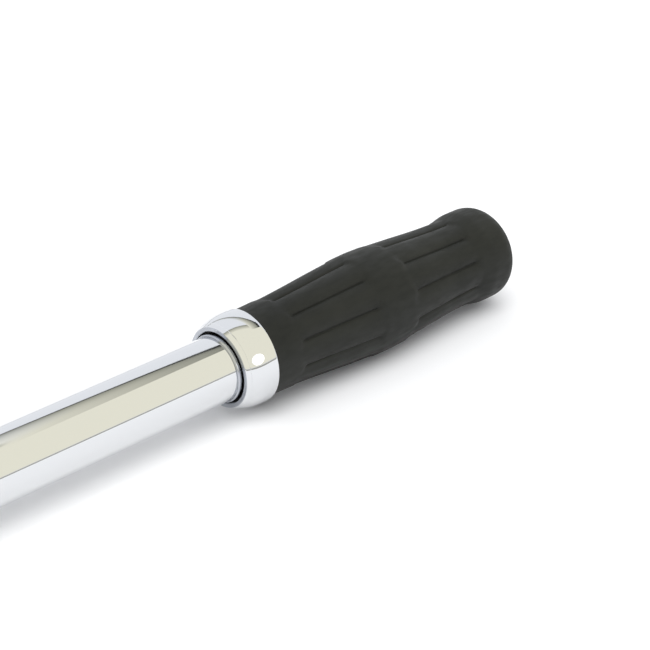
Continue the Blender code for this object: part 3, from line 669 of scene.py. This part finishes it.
def make_reflections():
    """What the chrome reflects: a cream ceiling, a white softbox with a dark rim, and a window."""
    height = 4.0
    over = COLLAR_FRONT * MM
    top = AXIS_Z * MM + height
    cream = (1.07, 1.04, 0.87)
    white = (1.04, 1.06, 1.10)
    olive = (0.34, 0.34, 0.28)
    black = (0.03, 0.03, 0.03)

    def flat(corners, shades):
        """Corners as (x, y) in ceiling heights from above the collar."""
        return [(over + x * height, y * height, top) for x, y in corners], shades

    far = 14.0
    rim = 0.695                    # the softbox's near edge ends here, at a dark upright
    upright = rim + 0.030
    start = 0.50                   # where the shade beside the upright has faded out
    low, high = -0.1, 0.8          # the shade's own ends
    near = 0.34                    # the softbox's near edge, over the collar
    slant = 0.33
    fade = 0.22

    def edge(x, drop=0.0):
        return (x, near - slant * x - drop)

    quads = [
        flat([(-far, -far), (start, -far), edge(start, fade), edge(-far, fade)], [cream] * 4),
        flat([edge(-far, fade), edge(start, fade), edge(start), edge(-far)],
             [cream, cream, olive, olive]),
        flat([edge(-far), edge(start), (start, far), (-far, far)], [white] * 4),
        flat([(start, -far), (rim, -far), (rim, low), (start, low)], [cream] * 4),
        flat([(start, low), (rim, low), (rim, high), (start, high)], [cream, olive, olive, white]),
        flat([(start, high), (rim, high), (rim, far), (start, far)], [white, olive, olive, white]),
        flat([(rim, low), (upright, low), (upright, far), (rim, far)], [black] * 4),
        flat([(rim, -far), (far, -far), (far, low), (rim, low)], [cream] * 4),
        flat([(upright, low), (far, low), (far, far), (upright, far)], [white] * 4),
    ]
    light_card("ceiling_card", quads)

    # A bright window low on the near side, and the dark line of the table's edge under it.
    away = 2.0
    middle = math.radians(-82.0)
    tilt = math.radians(18.0)
    towards = Vector((math.cos(middle) * math.cos(tilt), math.sin(middle) * math.cos(tilt),
                      math.sin(tilt)))
    centre = Vector((over, 0.0, AXIS_Z * MM)) + away * towards
    wide = 0.50 * Vector((-math.sin(middle), math.cos(middle), 0.0))
    tall = 0.42 * Vector((0.0, 0.0, 1.0))
    corners = [centre + wide * math.cos(turn) + tall * math.sin(turn) for turn in full_turn(32)]
    light_card("window_card", [(corners, [(2.2, 2.2, 2.2)] * len(corners))])
    line_y = -4.5
    base = FLOOR_Z * MM
    rise = base + 0.22
    line = [(-far, line_y, base), (far, line_y, base),
            (far, line_y, rise), (-far, line_y, rise)]
    light_card("table_edge_card", [(line, [(0.42, 0.42, 0.36)] * 4)])


def make_studio():
    """A pale floor in an even white room, with one broad soft light from overhead."""
    floor_look, floor_shader = new_look("studio_floor", (0.95, 0.95, 0.95), 0.9, 0.0)
    floor_shader.inputs["Specular IOR Level"].default_value = 0.0
    half = 6.0
    z = FLOOR_Z * MM
    corners = [(-half, -half, z), (half, -half, z), (half, half, z), (-half, half, z)]
    plain_plane("studio_floor", corners, floor_look)

    world = bpy.data.worlds.new("studio")
    bpy.context.scene.world = world
    world.use_nodes = True
    back = world.node_tree.nodes["Background"]
    back.inputs["Color"].default_value = (0.97, 0.98, 1.0, 1.0)
    back.inputs["Strength"].default_value = 0.86

    lamp = bpy.data.lights.new("key_light", "SUN")
    lamp.energy = 1.5
    lamp.angle = math.radians(50.0)
    key = bpy.data.objects.new("key_light", lamp)
    bpy.context.scene.collection.objects.link(key)
    key.visible_glossy = False
    key.rotation_euler = Vector((0.20, 0.42, -1.0)).to_track_quat("-Z", "Y").to_euler()


def make_camera():
    """The camera looks along the wrench from low on the head's side, past the collar."""
    data = bpy.data.cameras.new("camera")
    data.lens = 108.0
    data.sensor_width = 36.0
    camera = bpy.data.objects.new("camera", data)
    bpy.context.scene.collection.objects.link(camera)
    collar_point = Vector((COLLAR_FRONT + 3.0, 0.0, AXIS_Z))
    camera.location = (collar_point + TUBE_RADIUS * Vector((-31.91, -37.48, 27.66))) * MM
    heading = Vector((0.6098, 0.6363, -0.4726))
    camera.rotation_euler = heading.to_track_quat("-Z", "Y").to_euler()
    bpy.context.scene.camera = camera


# ---------------------------------------------------------------- build

chrome = chrome_look()
steel = steel_look("machined_steel", (0.56, 0.56, 0.57), 0.30)
dark_steel = steel_look("dark_steel", (0.16, 0.16, 0.17), 0.38)
rubber = rubber_look()
plastic = plastic_look("white_plastic", (0.78, 0.77, 0.73), 0.45)
turned_steel = steel_look("turned_steel", (0.50, 0.52, 0.56), 0.16)
# painted shade: a near-black look for the shaded insides of the collar and collet
shadow_gap, _ = new_look("painted_shade_gap", (0.004, 0.004, 0.005), 0.6, 0.0)
looks = {"chrome": chrome, "machined_steel": steel, "dark_steel": dark_steel,
         "black_rubber": rubber, "white_plastic": plastic}

for part in frame["record"]["subparts"]:
    node = frame["nodes"][part["node"]]
    node.data.materials.clear()
    node.data.materials.append(looks[part["material_slot"]])

make_head(chrome)
make_drive(chrome)
make_grip(rubber)
make_collar(chrome, shadow_gap, turned_steel)
make_collet(turned_steel, shadow_gap)
make_tube(chrome)
make_main_spring(dark_steel)
make_collar_spring(dark_steel)
make_studio()
make_reflections()
make_camera()

bpy.context.scene.view_settings.view_transform = "Standard"
